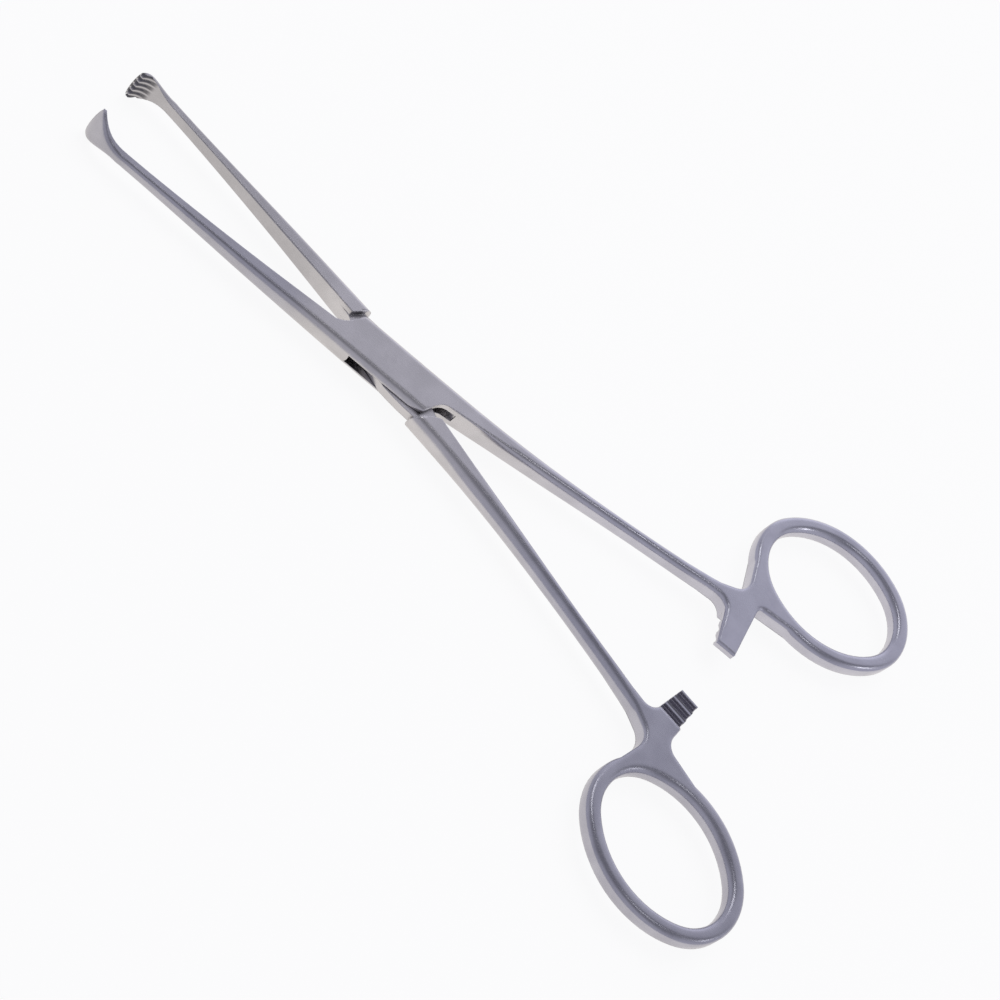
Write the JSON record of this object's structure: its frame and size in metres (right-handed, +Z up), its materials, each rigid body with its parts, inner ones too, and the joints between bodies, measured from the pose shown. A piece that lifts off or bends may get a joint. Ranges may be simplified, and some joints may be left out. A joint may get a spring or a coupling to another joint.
{
  "type": "tissue forceps",
  "caption": "Grasping forceps with a box lock, finger rings, ratchet bars and fan-shaped toothed tips on slim bowed jaws, lying part open.",
  "frame": {"origin": "hinge axis at the underside of the lock", "axes": "+X from the lock to the finger rings, +Y to the ring of the slotted half, +Z up through the lock along the hinge axis"},
  "size_m": [0.1546, 0.0902, 0.0067],
  "materials": {
    "steel": "satin",
    "pin_steel": "satin"
  },
  "bodies": {
    "box_half": {"female_half": "steel", "lock_pin": "pin_steel"},
    "tongue_half": {"male_half": "steel"}
  },
  "joints": [
    {"name": "lock_hinge", "type": "hinge", "parent": "box_half", "child": "tongue_half", "pos_m": [0, 0, 0.00195], "axis": [0, 0, 1], "range_deg": [-49, 11.1]}
  ]
}
